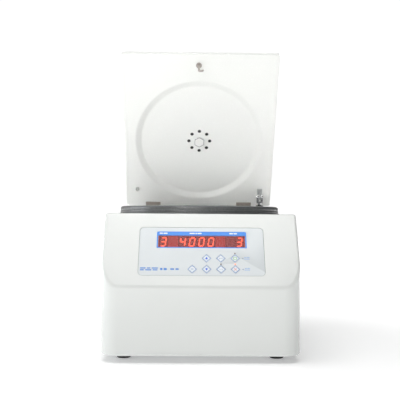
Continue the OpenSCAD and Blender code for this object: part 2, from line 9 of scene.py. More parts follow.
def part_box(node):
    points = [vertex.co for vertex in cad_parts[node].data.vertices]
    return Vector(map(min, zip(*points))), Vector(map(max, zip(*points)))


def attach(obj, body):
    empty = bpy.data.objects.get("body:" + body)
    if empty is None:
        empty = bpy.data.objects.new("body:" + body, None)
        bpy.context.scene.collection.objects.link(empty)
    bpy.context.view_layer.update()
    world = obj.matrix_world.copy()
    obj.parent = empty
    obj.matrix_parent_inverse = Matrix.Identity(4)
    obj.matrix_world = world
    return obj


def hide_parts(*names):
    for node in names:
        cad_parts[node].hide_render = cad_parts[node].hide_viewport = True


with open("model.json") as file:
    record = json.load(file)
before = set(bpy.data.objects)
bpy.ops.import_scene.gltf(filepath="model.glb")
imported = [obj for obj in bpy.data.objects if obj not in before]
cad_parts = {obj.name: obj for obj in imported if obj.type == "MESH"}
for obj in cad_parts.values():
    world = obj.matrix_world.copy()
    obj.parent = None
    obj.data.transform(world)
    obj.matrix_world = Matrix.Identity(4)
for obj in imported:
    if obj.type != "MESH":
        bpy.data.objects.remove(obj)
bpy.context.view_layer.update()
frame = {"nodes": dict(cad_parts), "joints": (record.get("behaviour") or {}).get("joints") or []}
nodes = frame["nodes"]
joints = {j["name"]: j for j in frame["joints"]}
MM = 0.001


# ---- camera, floor and light ----

def make_camera():
    """A 64 mm lens on a 36 mm sensor, level with the deck and a little left of the middle."""
    place = Vector((-0.0172, -1.0972, 0.1852))
    yaw, pitch, roll = 0.0159, 0.0283, 0.0072
    ahead = Vector((math.sin(yaw) * math.cos(pitch), math.cos(yaw) * math.cos(pitch), math.sin(pitch)))
    across = Vector((math.cos(yaw), -math.sin(yaw), 0))
    above = across.cross(ahead)
    right = math.cos(roll) * across + math.sin(roll) * above
    up = -math.sin(roll) * across + math.cos(roll) * above
    data = bpy.data.cameras.new("camera")
    data.sensor_width = 36
    data.lens = 63.99
    camera = bpy.data.objects.new("camera", data)
    camera.matrix_world = Matrix((
        (right.x, up.x, -ahead.x, place.x),
        (right.y, up.y, -ahead.y, place.y),
        (right.z, up.z, -ahead.z, place.z),
        (0, 0, 0, 1),
    ))
    bpy.context.scene.collection.objects.link(camera)
    bpy.context.scene.camera = camera


def area_light(name, place, aim, size, power, colour=(1, 1, 1), spread=180):
    data = bpy.data.lights.new(name, "AREA")
    data.shape = "RECTANGLE"
    data.size, data.size_y = size
    data.energy = power
    data.color = colour
    data.spread = math.radians(spread)
    light = bpy.data.objects.new(name, data)
    light.location = place
    light.rotation_euler = (Vector(aim) - Vector(place)).to_track_quat("-Z", "Y").to_euler()
    bpy.context.scene.collection.objects.link(light)


def make_light():
    """A soft box on the left, one in front, one above, and a narrow beam that fills the open lid."""
    area_light("left", (-1.9, 0.2, 0.5), (0, 0, 0.25), (1.3, 0.8), 8.5, (0.93, 0.965, 1))
    area_light("front", (-0.5, -2.2, 0.36), (0, 0.05, 0.3), (1.5, 0.9), 8, (1, 0.995, 0.98))
    area_light("top", (-0.15, -0.25, 1.9), (0, 0, 0.2), (1.8, 1.8), 24)
    area_light("lid_fill", (-0.75, -1.5, 0.7), (0, 0.08, 0.28), (0.3, 0.15), 0.08, (1, 1, 0.985), 13)


def between(tree, value, low, high, start, end):
    """A number that goes from start to end while value goes from low to high."""
    node = tree.nodes.new("ShaderNodeMapRange")
    node.inputs["From Min"].default_value = low
    node.inputs["From Max"].default_value = high
    node.inputs["To Min"].default_value = start
    node.inputs["To Max"].default_value = end
    tree.links.new(value, node.inputs["Value"])
    return node.outputs["Result"]


def backdrop(tree, colour):
    node = tree.nodes.new("ShaderNodeBackground")
    node.inputs["Color"].default_value = colour
    return node


def make_world():
    """Plain white to look at, and walls that light the scene more from the left than the right."""
    world = bpy.data.worlds.new("studio")
    world.use_nodes = True
    tree = world.node_tree
    tree.nodes.clear()
    out = tree.nodes.new("ShaderNodeOutputWorld")
    seen = backdrop(tree, (1, 1, 1, 1))
    seen.inputs["Strength"].default_value = 1.05
    lit = backdrop(tree, (1, 0.995, 0.975, 1))
    way = tree.nodes.new("ShaderNodeTexCoord")
    parts = tree.nodes.new("ShaderNodeSeparateXYZ")
    tree.links.new(way.outputs["Generated"], parts.inputs[0])
    fade = between(tree, parts.outputs["X"], -0.8, 0.8, 0.5, 0.06)
    tree.links.new(fade, lit.inputs["Strength"])
    path = tree.nodes.new("ShaderNodeLightPath")
    mix = tree.nodes.new("ShaderNodeMixShader")
    tree.links.new(path.outputs["Is Camera Ray"], mix.inputs["Fac"])
    tree.links.new(lit.outputs[0], mix.inputs[1])
    tree.links.new(seen.outputs[0], mix.inputs[2])
    tree.links.new(mix.outputs[0], out.inputs["Surface"])
    bpy.context.scene.world = world
    bpy.context.scene.view_settings.view_transform = "Standard"


def make_floor():
    mesh = bpy.data.meshes.new("floor")
    half = 6
    corners = [(-half, -half, 0), (half, -half, 0), (half, half, 0), (-half, half, 0)]
    mesh.from_pydata(corners, [], [(0, 1, 2, 3)])
    floor = bpy.data.objects.new("floor", mesh)
    bpy.context.scene.collection.objects.link(floor)
    floor.data.materials.append(plain_floor())


# ---- materials ----

def new_material(name):
    material = bpy.data.materials.new(name)
    material.use_nodes = True
    shader = material.node_tree.nodes["Principled BSDF"]
    return material, material.node_tree, shader


def grain(tree, scale, detail=3.0, stretch=(1, 1, 1)):
    """Noise over the object's own coordinates, in metres, stretched along some axes."""
    place = tree.nodes.new("ShaderNodeTexCoord")
    mapping = tree.nodes.new("ShaderNodeMapping")
    mapping.inputs["Scale"].default_value = stretch
    noise = tree.nodes.new("ShaderNodeTexNoise")
    noise.inputs["Scale"].default_value = scale
    noise.inputs["Detail"].default_value = detail
    tree.links.new(place.outputs["Object"], mapping.inputs["Vector"])
    tree.links.new(mapping.outputs[0], noise.inputs["Vector"])
    return noise.outputs["Fac"]


def ramp(tree, value, low, high, start=0.3, end=0.7):
    """Colours or greys between low and high as value goes from start to end."""
    node = tree.nodes.new("ShaderNodeValToRGB")
    node.color_ramp.elements[0].position = start
    node.color_ramp.elements[0].color = low
    node.color_ramp.elements[1].position = end
    node.color_ramp.elements[1].color = high
    tree.links.new(value, node.inputs["Fac"])
    return node.outputs["Color"]


def tone(colour, factor):
    return (*[min(1, c * factor) for c in colour], 1)


def grey(value):
    return (value, value, value, 1)


def bump(tree, shader, value, strength, distance):
    node = tree.nodes.new("ShaderNodeBump")
    node.inputs["Strength"].default_value = strength
    node.inputs["Distance"].default_value = distance
    tree.links.new(value, node.inputs["Height"])
    tree.links.new(node.outputs[0], shader.inputs["Normal"])


def surface(name, colour, rough, spread=0.04, rough_spread=0.06, scale=25, fine=900,
            relief=0.05, depth=0.00005, stretch=(1, 1, 1), **fixed):
    """A material whose colour, roughness and fine relief all vary a little over the surface."""
    material, tree, shader = new_material(name)
    broad = grain(tree, scale)
    close = grain(tree, fine, 4.0, stretch)
    tree.links.new(ramp(tree, broad, tone(colour, 1 - spread), tone(colour, 1 + spread)),
                   shader.inputs["Base Color"])
    tree.links.new(ramp(tree, close, grey(rough - rough_spread), grey(rough + rough_spread)),
                   shader.inputs["Roughness"])
    bump(tree, shader, close, relief, depth)
    for socket, value in fixed.items():
        shader.inputs[socket.replace("_", " ")].default_value = value
    return material


def plain_floor():
    """A white sweep that glows away from the object, as one lit from below does."""
    material = surface("floor", (0.93, 0.935, 0.94), 0.6, spread=0.004, relief=0.0)
    tree = material.node_tree
    shader = tree.nodes["Principled BSDF"]
    shader.inputs["Emission Color"].default_value = (1, 1, 1, 1)
    place = tree.nodes.new("ShaderNodeTexCoord")
    away = tree.nodes.new("ShaderNodeVectorMath")
    away.operation = "LENGTH"
    tree.links.new(place.outputs["Object"], away.inputs[0])
    glow = between(tree, away.outputs["Value"], 0.3, 1.1, 0.28, 1.0)
    tree.links.new(glow, shader.inputs["Emission Strength"])
    return material


def shell_paint():
    """Glossy white moulding with a faint orange peel."""
    return surface("shell", (0.735, 0.755, 0.74), 0.2, spread=0.008, rough_spread=0.04, scale=12,
                   fine=420, relief=0.04, depth=0.0001, Coat_Weight=0.35, Coat_Roughness=0.12)


def lid_paint():
    """The lid's own paint, paler than the housing."""
    return surface("lid_paint", (0.90, 0.91, 0.89), 0.26, spread=0.008, rough_spread=0.05, scale=40,
                   fine=900, relief=0.05, depth=0.00006)


def liner_plastic():
    """Vacuum-formed off-white sheet with a soft gloss."""
    # partly painted light: an off-white sheet, but its tone is set paler than the housing's paint to make
    # up for light the overhanging lid's face gets less of
    return surface("liner", (0.89, 0.9, 0.875), 0.24, spread=0.008, rough_spread=0.05, scale=14,
                   fine=600, relief=0.04, depth=0.0001, Coat_Weight=0.25, Coat_Roughness=0.2)


def port_plastic():
    """White moulding."""
    return surface("port", (0.93, 0.93, 0.91), 0.25, spread=0.02, scale=90, Coat_Weight=0.4)


def ring_rubber():
    """Dark grey moulded rubber, smooth and a little glossy."""
    return surface("ring_rubber", (0.085, 0.09, 0.092), 0.28, spread=0.1, rough_spread=0.08, scale=45,
                   fine=1500, relief=0.1, depth=0.0001, Coat_Weight=0.4, Coat_Roughness=0.25)


def black_rubber():
    return surface("black_rubber", (0.018, 0.018, 0.02), 0.6, spread=0.25, rough_spread=0.12, scale=80,
                   fine=1800, relief=0.3, depth=0.0002)


def black_plastic():
    return surface("black_plastic", (0.02, 0.02, 0.022), 0.42, spread=0.15, rough_spread=0.08, scale=60,
                   fine=2600, relief=0.25, depth=0.0001)


def black_paint():
    return surface("black_paint", (0.012, 0.012, 0.013), 0.2, spread=0.1, rough_spread=0.05, scale=60,
                   fine=700, relief=0.05, Coat_Weight=0.5, Coat_Roughness=0.08)


def grey_paint():
    return surface("grey_paint", (0.16, 0.165, 0.17), 0.45, spread=0.08, scale=50, fine=1200, relief=0.3,
                   depth=0.0001)


def spun_steel():
    """Stainless sheet with the fine rings of a spun and polished bowl."""
    return surface("spun_steel", (0.62, 0.62, 0.61), 0.27, spread=0.05, rough_spread=0.1, scale=18,
                   fine=60, relief=0.12, depth=0.0001, stretch=(1, 1, 30), Metallic=1.0)


def plate_steel():
    """Zinc-plated sheet, mottled and brushed along X."""
    return surface("plate_steel", (0.56, 0.57, 0.57), 0.38, spread=0.08, rough_spread=0.1, scale=60,
                   fine=120, relief=0.1, depth=0.0001, stretch=(1, 18, 18), Metallic=1.0)


def dark_steel():
    """Browned hinge steel."""
    return surface("dark_steel", (0.42, 0.385, 0.355), 0.36, spread=0.12, rough_spread=0.1, scale=160,
                   fine=300, relief=0.12, stretch=(1, 14, 14), Metallic=1.0)


def bright_steel():
    return surface("bright_steel", (0.63, 0.63, 0.62), 0.24, spread=0.06, rough_spread=0.08, scale=120,
                   fine=400, relief=0.08, Metallic=1.0)


def chrome():
    return surface("chrome", (0.75, 0.75, 0.76), 0.09, spread=0.03, rough_spread=0.03, scale=150, fine=500,
                   relief=0.02, Metallic=1.0)


def anodised():
    """Bead-blasted aluminium under a clear oxide."""
    return surface("anodised", (0.66, 0.67, 0.68), 0.36, spread=0.04, rough_spread=0.07, scale=70,
                   fine=2400, relief=0.2, depth=0.0001, Metallic=1.0)


def brass():
    return surface("brass", (0.72, 0.53, 0.24), 0.22, spread=0.08, scale=200, fine=600, relief=0.05,
                   Metallic=1.0)


def board_green():
    return surface("board", (0.02, 0.16, 0.07), 0.35, spread=0.15, scale=180, fine=900, relief=0.1)


def overlay_film():
    """Pale grey-blue polyester film with a fine matt texture."""
    return surface("film", (0.70, 0.74, 0.76), 0.36, spread=0.012, rough_spread=0.05, scale=20,
                   fine=3200, relief=0.12, depth=0.00005, Coat_Weight=0.15, Coat_Roughness=0.25)


def key_film():
    return surface("key_film", (0.80, 0.84, 0.87), 0.3, spread=0.01, rough_spread=0.05, scale=90, fine=3200,
                   relief=0.1, Coat_Weight=0.3, Coat_Roughness=0.2)


def ink(name, colour):
    """Screen-printed ink with slight mottling."""
    return surface(name, colour, 0.4, spread=0.06, rough_spread=0.05, scale=400, fine=2500, relief=0.1,
                   depth=0.00002)


def window_filter():
    """Red filter sheet that lets the lit digits through."""
    return surface("window_filter", (0.38, 0.009, 0.007), 0.16, spread=0.05, rough_spread=0.04, scale=60,
                   fine=500, relief=0.02, Alpha=0.38, Coat_Weight=0.5, Coat_Roughness=0.08)


def module_face():
    return surface("module_face", (0.16, 0.006, 0.004), 0.5, spread=0.1, scale=150, fine=1500, relief=0.1)


def segment(name, colour, glow):
    material = surface(name, colour, 0.4, spread=0.05, scale=300, fine=900, relief=0.05)
    shader = material.node_tree.nodes["Principled BSDF"]
    shader.inputs["Emission Color"].default_value = (*colour, 1)
    shader.inputs["Emission Strength"].default_value = glow
    return material


def milky_lens():
    return surface("lens", (0.92, 0.92, 0.89), 0.1, spread=0.02, scale=200, fine=500, relief=0.02,
                   Coat_Weight=0.6, Coat_Roughness=0.05)


# ---- shapes, in millimetres ----

def round_rect(width, height, radius, steps=10, middle=(0, 0)):
    """Outline of a rectangle with round corners, counterclockwise."""
    points = []
    for side, rise, start in ((1, 1, 0), (-1, 1, 90), (-1, -1, 180), (1, -1, 270)):
        for i in range(steps + 1):
            turn = math.radians(start + 90 * i / steps)
            points.append((middle[0] + side * (width / 2 - radius) + radius * math.cos(turn),
                           middle[1] + rise * (height / 2 - radius) + radius * math.sin(turn)))
    return points


def circle(radius, middle=(0, 0), steps=48):
    return [(middle[0] + radius * math.cos(2 * math.pi * i / steps),
             middle[1] + radius * math.sin(2 * math.pi * i / steps)) for i in range(steps)]


def hexagon(radius, middle):
    """Regular outline with a corner at the far end."""
    turns = [math.radians(-60 * i) for i in range(6)]
    return [(middle[0] + radius * math.sin(t), middle[1] + radius * math.cos(t)) for t in turns]


def diamond(half):
    return [(half, 0), (0, half), (-half, 0), (0, -half)]


def moved(points, x, y, scale=1):
    return [(x + scale * px, y + scale * py) for px, py in points]


def box_outline(x_low, x_high, y_low, y_high):
    return [(x_low, y_low), (x_high, y_low), (x_high, y_high), (x_low, y_high)]


def prism(points, low, high):
    """Closed solid with flat ends over an outline."""
    n = len(points)
    verts = [(x, y, low) for x, y in points] + [(x, y, high) for x, y in points]
    faces = [tuple(reversed(range(n))), tuple(range(n, 2 * n))]
    faces += [(i, (i + 1) % n, n + (i + 1) % n, n + i) for i in range(n)]
    return verts, faces


def band(outer, inner, low, high):
    """Flat frame between two outlines that have the same number of points."""
    n = len(outer)
    verts = [(x, y, z) for z in (low, high) for line in (outer, inner) for x, y in line]
    faces = []
    for i in range(n):
        j = (i + 1) % n
        faces.append((j, i, n + i, n + j))
        faces.append((2 * n + i, 2 * n + j, 3 * n + j, 3 * n + i))
        faces.append((i, j, 2 * n + j, 2 * n + i))
        faces.append((n + j, n + i, 3 * n + i, 3 * n + j))
    return verts, faces


def lathe(profile, steps=96):
    """Solid of revolution about Z from a closed loop of (radius, height) points."""
    n = len(profile)
    verts = []
    for i in range(steps):
        turn = 2 * math.pi * i / steps
        verts += [(r * math.cos(turn), r * math.sin(turn), z) for r, z in profile]
    faces = []
    for i in range(steps):
        here, there = i * n, (i + 1) % steps * n
        faces += [(here + k, there + k, there + (k + 1) % n, here + (k + 1) % n) for k in range(n)]
    return verts, faces


def join(*shapes):
    """Several (verts, faces) shapes as one."""
    verts, faces = [], []
    for more_verts, more_faces in shapes:
        start = len(verts)
        verts += more_verts
        faces += [tuple(start + i for i in face) for face in more_faces]
    return verts, faces


def shape_of(mesh):
    """A mesh as (verts, faces)."""
    return [v.co[:] for v in mesh.vertices], [tuple(face.vertices) for face in mesh.polygons]


def placed(shape, matrix):
    verts, faces = shape
    return [tuple(matrix @ Vector(v)) for v in verts], faces


# ---- meshes ----

def mesh_of(shape, name="shape"):
    mesh = bpy.data.meshes.new(name)
    mesh.from_pydata([tuple(v) for v in shape[0]], [], shape[1])
    form = bmesh.new()
    form.from_mesh(mesh)
    bmesh.ops.remove_doubles(form, verts=form.verts, dist=0.0001)
    bmesh.ops.recalc_face_normals(form, faces=form.faces)
    form.to_mesh(mesh)
    form.free()
    return mesh


def round_edges(mesh, width, pick, segments=4):
    """Rounds the edges that pick() chooses."""
    form = bmesh.new()
    form.from_mesh(mesh)
    chosen = [e for e in form.edges if len(e.link_faces) == 2 and pick(e)]
    bmesh.ops.bevel(form, geom=chosen, offset=width, offset_type="OFFSET", segments=segments,
                    profile=0.5, affect="EDGES", clamp_overlap=True)
    form.to_mesh(mesh)
    form.free()
    return mesh


def sharper(degrees):
    return lambda edge: edge.calc_face_angle(0) > math.radians(degrees)


def cut_off(mesh, point, normal):
    """Cuts away what lies beyond a plane, and closes the mesh there."""
    form = bmesh.new()
    form.from_mesh(mesh)
    everything = form.verts[:] + form.edges[:] + form.faces[:]
    found = bmesh.ops.bisect_plane(form, geom=everything, plane_co=point, plane_no=normal,
                                   clear_outer=True)
    rim = [e for e in found["geom_cut"] if isinstance(e, bmesh.types.BMEdge)]
    bmesh.ops.contextual_create(form, geom=rim)
    form.to_mesh(mesh)
    form.free()
    return mesh


def cut(mesh, shapes):
    """The mesh with each of the (verts, faces) solids taken away."""
    scratch = bpy.data.objects.new("scratch", mesh)
    bpy.context.scene.collection.objects.link(scratch)
    cutters = []
    for shape in shapes:
        cutter = bpy.data.objects.new("cutter", mesh_of(shape))
        bpy.context.scene.collection.objects.link(cutter)
        cutters.append(cutter)
        modifier = scratch.modifiers.new("cut", "BOOLEAN")
        modifier.operation = "DIFFERENCE"
        modifier.solver = "EXACT"
        modifier.object = cutter
    view = bpy.context.evaluated_depsgraph_get()
    result = bpy.data.meshes.new_from_object(scratch.evaluated_get(view))
    for used in [scratch, *cutters]:
        bpy.data.objects.remove(used)
    return result


def piece(name, body, material, mesh, place=None, sharp=35):
    """A finished piece from a mesh in millimetres: placed, smoothed, painted and riding on its body."""
    mesh.name = name
    if place:
        mesh.transform(place)
    mesh.transform(Matrix.Scale(MM, 4))
    mesh.materials.clear()
    mesh.materials.append(material)
    mesh.shade_smooth()
    mesh.set_sharp_from_angle(angle=math.radians(sharp))
    made = bpy.data.objects.new(name, mesh)
    bpy.context.scene.collection.objects.link(made)
    even = made.modifiers.new("even", "WEIGHTED_NORMAL")
    even.keep_sharp = True
    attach(made, body)
    return made


# ---- places taken from the frame ----

def in_mm(vector):
    return Vector(vector) / MM


def panel_frame():
    """Maps (across, up the slope, out of it) in millimetres onto the overlay's outer face."""
    low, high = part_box("overlay")
    inward = Vector(joints["key_1_press"]["axis"]).normalized()
    up = Vector((0, -inward.z, inward.y))
    middle = in_mm(low + high) / 2 - inward * OVERLAY_THICK / 2
    origin = middle - up * OVERLAY_S
    origin.x = 0
    return Matrix((
        (1, 0, -inward.x, origin.x),
        (0, up.y, -inward.y, origin.y),
        (0, up.z, -inward.z, origin.z),
        (0, 0, 0, 1),
    ))


def lid_frame():
    """Maps places on the shut lid, in millimetres, onto the lid as it stands open."""
    hinge = in_mm(joints["lid_hinge"]["pos_m"])
    opened = Matrix.Rotation(math.radians(-joints["lid_hinge"]["range_deg"][1]), 4, "X")
    return Matrix.Translation(hinge) @ opened @ Matrix.Translation(-hinge)


# the panel's layout, in millimetres up the slope from its origin
OVERLAY_S = 54.3
OVERLAY_THICK = 1.2
WINDOW_S = 69.2
WINDOW_LOW = 60.1
WINDOW_HIGH = 78.3
WINDOW_HALF = 58.4
KEY_LIFT = 0.3
DIGIT_PITCH = 12.7
# display modules as (middle from the window's own middle, number of digits)
MODULES = ((-51.5, 1), (-6.5, 4), (44.5, 2))

PANEL = panel_frame()
LID = lid_frame()
AXIS = in_mm(joints["rotor_spin"]["pos_m"])
OVERLAY_X = in_mm(sum(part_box("overlay"), Vector())).x / 2
WINDOW_X = in_mm(sum(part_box("display_window"), Vector())).x / 2
CENTRE = (AXIS.x, AXIS.y)
DECK = in_mm(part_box("housing")[1]).z
THROAT_R = 111.3
PORT_R = 5.2
PAN_DEPTH = 5


def lid_box(node):
    """Lowest and highest corners of one of the lid's nodes with the lid shut, in millimetres."""
    shut = LID.inverted()
    spots = [shut @ in_mm(v.co) for v in nodes[node].data.vertices]
    low = Vector([min(s[i] for s in spots) for i in range(3)])
    high = Vector([max(s[i] for s in spots) for i in range(3)])
    return low, high


def key_place(number):
    """Middle of a key's face as (across, up the slope), from the key's highest corner."""
    low, high = (in_mm(corner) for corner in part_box(f"key_{number}"))
    half = (high.x - low.x) / 2
    top = (high.z - PANEL.translation.z) / PANEL.col[1].z
    face = KEY_LIFT * PANEL.col[2].z / PANEL.col[1].z
    return (low.x + high.x) / 2, top - face - half


# ---- housing and lid ----

def housing_form(inset):
    """The housing's rounded block with its front sloped back, smaller by the inset on every side."""
    low, high = (in_mm(corner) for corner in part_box("housing"))
    corner = 24
    bottom = low.z - (20 if inset else 0)
    outline = round_rect(high.x - low.x - 2 * inset, high.y - low.y - 2 * inset, corner - inset, steps=14)
    mesh = mesh_of(prism(outline, bottom, high.z - inset))
    outward = PANEL.col[2].to_3d()
    face = PANEL.translation + outward * (0.3 - inset)
    return cut_off(mesh, face, outward)


def panel_cuts():
    """The overlay's shallow seat, the window's opening and a hole behind each key."""
    seat = round_rect(168, 74.5, 6, middle=(OVERLAY_X, OVERLAY_S))
    cuts = [placed(prism(seat, -OVERLAY_THICK, 5), PANEL)]
    gap = 0.1
    half = WINDOW_HALF + gap
    opening = box_outline(WINDOW_X - half, WINDOW_X + half, WINDOW_LOW - gap, WINDOW_HIGH + gap)
    cuts.append(placed(prism(opening, -6, 5), PANEL))
    for number in range(1, 8):
        cuts.append(placed(prism(circle(3.2, key_place(number), steps=24), -6, 5), PANEL))
    return cuts


def rear_cuts():
    """The rear panel's seat, and the smaller opening behind it."""
    low, high = (in_mm(corner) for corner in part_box("rear_panel"))
    across, upright = (low.x + high.x) / 2, (low.z + high.z) / 2
    wide, tall = high.x - low.x + 0.4, high.z - low.z + 0.4
    cuts = []
    for grow, depth in ((0, 1.5), (-16, 12)):
        outline = box_outline(across - (wide + grow) / 2, across + (wide + grow) / 2,
                              high.y - depth, high.y + 5)
        cuts.append(prism(outline, upright - (tall + grow) / 2, upright + (tall + grow) / 2))
    return cuts


def make_housing():
    wall, rounding, reach_down = 3, 3.4, 10
    mesh = housing_form(0)
    round_edges(mesh, rounding, sharper(25), segments=6)
    throat = placed(prism(circle(THROAT_R, steps=128), -20, 20), Matrix.Translation((AXIS.x, AXIS.y, DECK)))
    stay_slot = prism(box_outline(99.5, 114.5, 128, 159), DECK - reach_down, DECK + reach_down)
    hook_slot = prism(box_outline(-8, 10, -102, -90), DECK - reach_down, DECK + reach_down)
    cuts = [shape_of(housing_form(wall)), throat, stay_slot, hook_slot, *panel_cuts(), *rear_cuts()]
    housing = piece("housing_skin", "base", shell_paint(), cut(mesh, cuts))
    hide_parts("housing")


def make_lid():
    """The pressed outer shell, round at the top; its rim ends under the liner's lip."""
    low, high = lid_box("lid_shell")
    middle = ((low.x + high.x) / 2, (low.y + high.y) / 2)
    wide, long = high.x - low.x, high.y - low.y
    corner, rim, roof, under_lip = 3, 5, 2, 0.8
    mesh = mesh_of(prism(round_rect(wide, long, corner, middle=middle), low.z + under_lip, high.z))
    half_way = (low.z + high.z) / 2
    round_edges(mesh, 2.4, lambda e: sharper(60)(e) and min(v.co.z for v in e.verts) > half_way, 6)
    inside = round_rect(wide - 2 * rim, long - 2 * rim, corner / 2, middle=middle)
    cavity = prism(inside, low.z - 5, high.z - roof)
    port = prism(circle(PORT_R, CENTRE), low.z, high.z + 5)
    lid = piece("lid_skin", "lid", lid_paint(), cut(mesh, [cavity, port]), LID)
    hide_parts("lid_shell")


def reach(start, turn, inside):
    """How far a ray from start goes, in direction turn, before it leaves the shape."""
    near, far = 0.0, 400.0
    for _ in range(40):
        half_way = (near + far) / 2
        spot = (start[0] + half_way * math.cos(turn), start[1] + half_way * math.sin(turn))
        if inside(*spot):
            near = half_way
        else:
            far = half_way
    return near


def pan_drop(radius, pan, step):
    """How far a straight slope with soft ends has come down at a radius, from 1 inside to 0 outside."""
    along = min(max((radius - pan + step) / step, 0), 1)
    soft = 0.25
    if along < soft:
        return 1 - along * along / (2 * soft * (1 - soft))
    if along > 1 - soft:
        return (1 - along) ** 2 / (2 * soft * (1 - soft))
    return 1 - (along - soft / 2) / (1 - soft)


def liner_sheet(low, high):
    """A sheet on rays from the rotor's axis: a round pan in the middle, a lip over the lid's rim."""
    middle = ((low.x + high.x) / 2, (low.y + high.y) / 2)
    overlap, corner = 4.6, 2.6
    half_x, half_y = (high.x - low.x) / 2 + overlap, (high.y - low.y) / 2 + overlap
    pan, step, sheet = 109.5, 13, 1.5
    lip = low.z - lid_box("lid_shell")[0].z

    def inside(x, y):
        over_x = max(abs(x - middle[0]) - half_x + corner, 0)
        over_y = max(abs(y - middle[1]) - half_y + corner, 0)
        return math.hypot(over_x, over_y) <= corner

    rays = 192
    radii = [PORT_R, 10, 14, 21, 40, 65, 88, 96]
    radii += [pan - step + step * i / 16 for i in range(17)] + [pan + 1.5, pan + 4]
    bottom, top = [], []
    for i in range(rays):
        turn = 2 * math.pi * i / rays
        edge = reach(CENTRE, turn, inside)
        line = [(radius, 0) for radius in radii] + [((radii[-1] + edge) / 2, 0)]
        line += [(edge - 6.5, 0), (edge - 5, lip / 2), (edge - 3.5, lip)]
        line += [(edge - 0.7, lip), (edge, lip - 0.4)]
        for radius, drop in line:
            x, y = CENTRE[0] + radius * math.cos(turn), CENTRE[1] + radius * math.sin(turn)
            level = low.z + PAN_DEPTH * pan_drop(radius, pan, step) - drop
            bottom.append((x, y, level))
            top.append((x, y, level + sheet))
    n = len(line)
    total = rays * n
    faces = []
    for i in range(rays):
        here, there = i * n, (i + 1) % rays * n
        for k in range(n - 1):
            faces.append((here + k, there + k, there + k + 1, here + k + 1))
            faces.append((total + here + k + 1, total + there + k + 1, total + there + k, total + here + k))
        faces.append((here, total + here, total + there, there))
        faces.append((here + n - 1, there + n - 1, total + there + n - 1, total + here + n - 1))
    return bottom + top, faces


def make_liner():
    """The formed sheet inside the lid, its eight vents, and black discs behind them that paint the shade
    inside the holes.
    """
    low, high = lid_box("lid_liner")
    ring, vent, shade_disc_r = 17.6, 2.9, 3.1
    floor = low.z + PAN_DEPTH
    vents, shade_discs = [], []
    for i in range(8):
        turn = 2 * math.pi * i / 8
        spot = (CENTRE[0] + ring * math.cos(turn), CENTRE[1] + ring * math.sin(turn))
        vents.append(prism(circle(vent, spot, steps=32), low.z - 5, low.z + 20))
        # painted shade: a black disc close behind each vent makes the hole read dark, as a shaded hole does
        shade_discs.append(prism(circle(shade_disc_r, spot, steps=32), floor + 1.0, floor + 1.6))
    vent_shade = piece("vent_shade_discs", "lid", black_plastic(), mesh_of(join(*shade_discs)), LID)
    mesh = cut(mesh_of(liner_sheet(low, high)), vents)
    liner = piece("liner_skin", "lid", liner_plastic(), mesh, LID)
    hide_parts("lid_liner")


def make_seal():
    """The rubber ring on the deck: a low bead and a tall one outside, a soft lip, a skirt inside."""
    low, high = (in_mm(corner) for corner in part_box("seal_ring"))
    top = high.z
    inner, skirt = 106.5, THROAT_R - 0.2
    foot = (high.x - low.x) / 2
    outer = foot - 1.3
    profile = [(inner + 0.8, low.z), (skirt, low.z), (skirt, DECK + 0.02), (foot, DECK + 0.02),
               (foot, DECK + 1.3), (foot - 0.5, DECK + 1.9), (outer - 0.2, DECK + 2.2)]
    beads = ((DECK + 4.1, 1.7, 0.35, outer - 0.35), (DECK + 8.5, 2.5, 0.4, outer - 0.7))
    for middle, tall, bulge, base in beads:
        for k in range(9):
            turn = math.radians(-84 + 21 * k)
            profile.append((base + bulge * math.cos(turn), middle + tall * math.sin(turn)))
    profile += [(outer - 1.9, top - 0.8), (outer - 2.8, top - 0.2), (outer - 3.8, top), (outer - 6, top),
                (outer - 6.5, top - 0.6), (outer - 7.3, top - 0.6), (outer - 7.8, top), (inner + 1.6, top),
                (inner + 0.5, top - 0.5), (inner, top - 1.6), (inner, low.z + 0.8)]
    seal = piece("seal_skin", "base", ring_rubber(), mesh_of(lathe(profile, 160)),
                 Matrix.Translation((*CENTRE, 0)), sharp=50)
    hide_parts("seal_ring")


def make_port():
    """Six-sided sight plug with rounded edges, a thin dark band at its face's edge painted as a shade line,
    and a milky lens set in its face.
    """
    face = lid_box("sight_port")[0].z
    seat = lid_box("lid_liner")[0].z + PAN_DEPTH
    plug_r, lens_r = 8.8, 4.3
    body = mesh_of(prism(hexagon(plug_r, CENTRE), face, seat + 0.5))
    round_edges(body, 0.8, sharper(40), segments=4)
    # painted shade: a thin dark band round the plug's face edge stands in for the shade line along the
    # plug's edges
    rim = band(hexagon(plug_r + 0.1, CENTRE), hexagon(plug_r - 0.45, CENTRE), face - 0.02, face + 0.5)
    shade_band = piece("port_shade_line", "lid", black_rubber(), mesh_of(rim), LID)
    seat_cut = prism(circle(lens_r + 0.1, CENTRE), face - 1, face + 0.5)
    plug = piece("sight_plug", "lid", port_plastic(), cut(body, [seat_cut]), LID)
    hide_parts("sight_port")
    dome = [(0, face + 0.45), (lens_r, face + 0.45), (lens_r, face + 0.2), (3.4, face + 0.05), (0, face)]
    place = LID @ Matrix.Translation((*CENTRE, 0))
    lens = piece("sight_lens_skin", "lid", milky_lens(), mesh_of(lathe(dome, 48)), place)
    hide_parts("sight_lens")


# ---- control panel ----

def printed(name, body, material, outlines, lift=0, thick=0.04):
    """Ink outlines laid on the panel, lift above its face and thick to either side of that."""
    shapes = [prism(points, lift - thick, lift + thick) for points in outlines]
    made = piece(name, body, material, mesh_of(join(*shapes)), PANEL)
    return made


def make_bezel(blue):
    """Blue frame with round upper corners around the display window."""
    rounded = round_rect(121, 25.5, 2.6, steps=8, middle=(0, 72))
    outer = [(x, y) if y > 66 else (math.copysign(60.5, x), 59.25) for x, y in rounded]
    inner = [(math.copysign(59.0, x), 78.8 if y > 66 else 60.4) for x, y in rounded]
    verts, faces = band(moved(outer, WINDOW_X, 0), moved(inner, WINDOW_X, 0), -1.1, 0.2)
    bezel = piece("bezel_skin", "base", blue, mesh_of((verts, faces)), PANEL)
    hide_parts("display_bezel")


